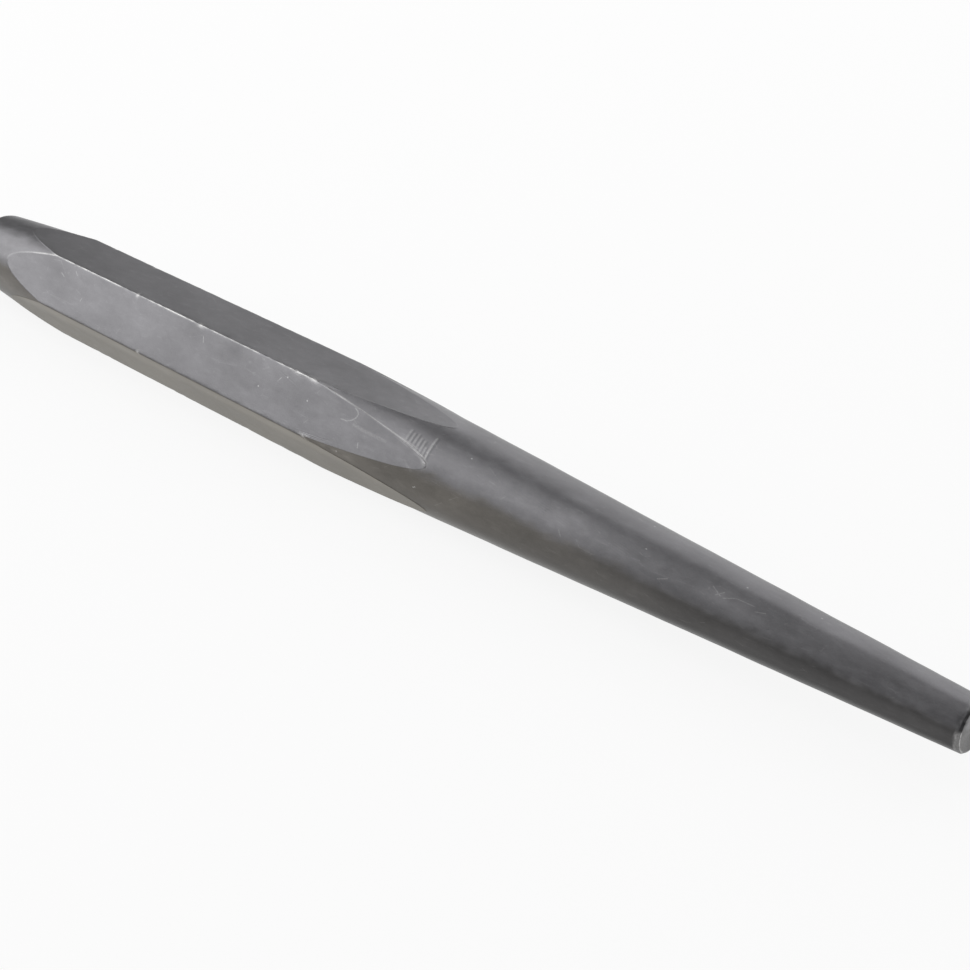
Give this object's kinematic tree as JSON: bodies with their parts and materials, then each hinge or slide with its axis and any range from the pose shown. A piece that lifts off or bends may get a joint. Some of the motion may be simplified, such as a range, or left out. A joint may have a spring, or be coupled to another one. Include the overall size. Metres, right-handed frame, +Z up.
{
  "type": "drift punch",
  "caption": "Solid steel drift punch: a hexagonal grip with a blunt coned head to strike, and a long straight taper to a flat round tip.",
  "frame": {"origin": "bottom centre of the bounding box: on the resting flat, halfway along the tool", "axes": "+X along the tool from the struck head to the working tip, +Z up out of the top flat"},
  "size_m": [0.2102, 0.0182, 0.0159],
  "materials": {
    "oxide_steel": "dull grey oxide with bright worn edges"
  },
  "bodies": {
    "root": {"drift_punch": "oxide_steel"}
  },
  "joints": []
}
